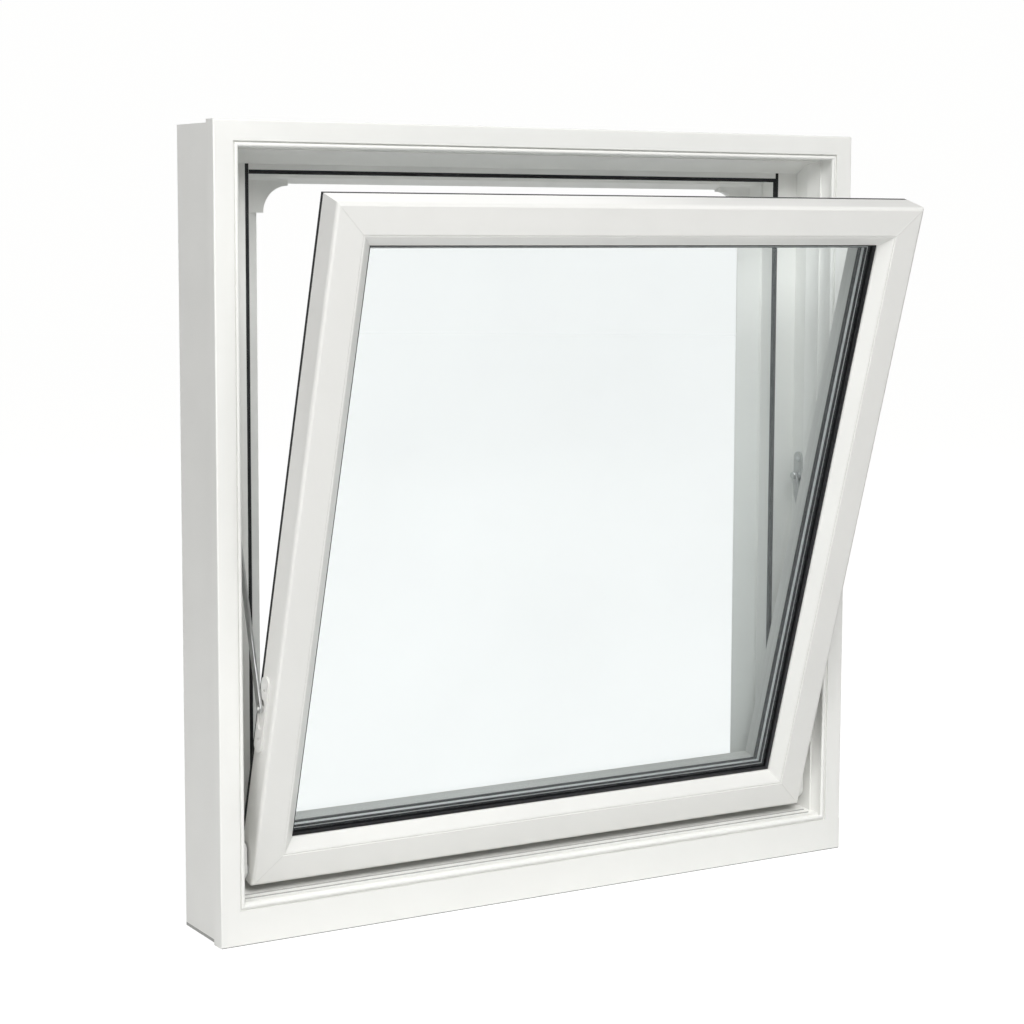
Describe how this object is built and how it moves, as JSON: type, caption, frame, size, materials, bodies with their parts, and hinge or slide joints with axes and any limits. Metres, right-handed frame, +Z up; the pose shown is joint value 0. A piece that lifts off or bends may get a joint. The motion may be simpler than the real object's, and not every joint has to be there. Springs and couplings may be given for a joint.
{
  "type": "hopper window",
  "caption": "Vinyl window with a double-glazed sash that pivots at the bottom and leans out at the top on two side stays.",
  "frame": {"origin": "middle of the frame underside: centre of width and depth, Z = 0 at the lowest face", "axes": "+X to the right seen from the side the sash leans to, +Y into the wall, +Z up"},
  "size_m": [0.72, 0.257, 0.76],
  "materials": {
    "vinyl": "satin white vinyl",
    "strip": "matt grey",
    "gasket": "matt black",
    "glass": "clear float glass",
    "spacer": "satin",
    "sealant": "matt black",
    "steel": "brushed",
    "nylon": "matt white"
  },
  "bodies": {
    "frame": {"frame_gasket_head": "gasket", "frame_gasket_left": "gasket", "frame_gasket_right": "gasket", "frame_gasket_sill": "gasket", "frame_head": "vinyl", "frame_left_jamb": "vinyl", "frame_right_jamb": "vinyl", "frame_sill": "vinyl", "left_pivot_bracket": "nylon", "left_pivot_screws": "steel", "left_stay_bracket": "steel", "left_stay_rivet": "steel", "left_stay_screws": "steel", "rear_gusset_bottom_left": "vinyl", "rear_gusset_bottom_right": "vinyl", "rear_gusset_top_left": "vinyl", "rear_gusset_top_right": "vinyl", "right_pivot_bracket": "nylon", "right_pivot_screws": "steel", "right_stay_bracket": "steel", "right_stay_rivet": "steel", "right_stay_screws": "steel", "sill_base_strip": "strip"},
    "sash": {"edge_sealant": "sealant", "glazing_bead_bottom": "vinyl", "glazing_bead_left": "vinyl", "glazing_bead_right": "vinyl", "glazing_bead_top": "vinyl", "glazing_gasket_front": "gasket", "glazing_gasket_rear": "gasket", "inner_pane": "glass", "left_pivot_pin": "steel", "left_stay_track": "steel", "outer_pane": "glass", "right_pivot_pin": "steel", "right_stay_track": "steel", "sash_bottom_rail": "vinyl", "sash_left_stile": "vinyl", "sash_right_stile": "vinyl", "sash_top_rail": "vinyl", "sash_weatherstrip": "gasket", "setting_blocks": "nylon", "spacer_bars": "spacer"},
    "left_stay": {"left_stay_arm": "steel", "left_stay_roller": "steel"},
    "right_stay": {"right_stay_arm": "steel", "right_stay_roller": "steel"}
  },
  "joints": [
    {"name": "sash_tilt", "type": "hinge", "parent": "frame", "child": "sash", "pos_m": [0, -0.011, 0.062], "axis": [1, 0, 0], "range_deg": [-16.5, 0]},
    {"name": "left_stay_swing", "type": "hinge", "parent": "frame", "child": "left_stay", "pos_m": [-0.324, -0.003, 0.402], "axis": [1, 0, 0], "range_deg": [0, 15.5]},
    {"name": "right_stay_swing", "type": "hinge", "parent": "frame", "child": "right_stay", "pos_m": [0.324, -0.003, 0.402], "axis": [1, 0, 0], "range_deg": [0, 15.5]}
  ],
  "couplings": [
    {"joint": "left_stay_swing", "follows": "sash_tilt", "ratio": -0.9},
    {"joint": "right_stay_swing", "follows": "sash_tilt", "ratio": -0.9}
  ]
}
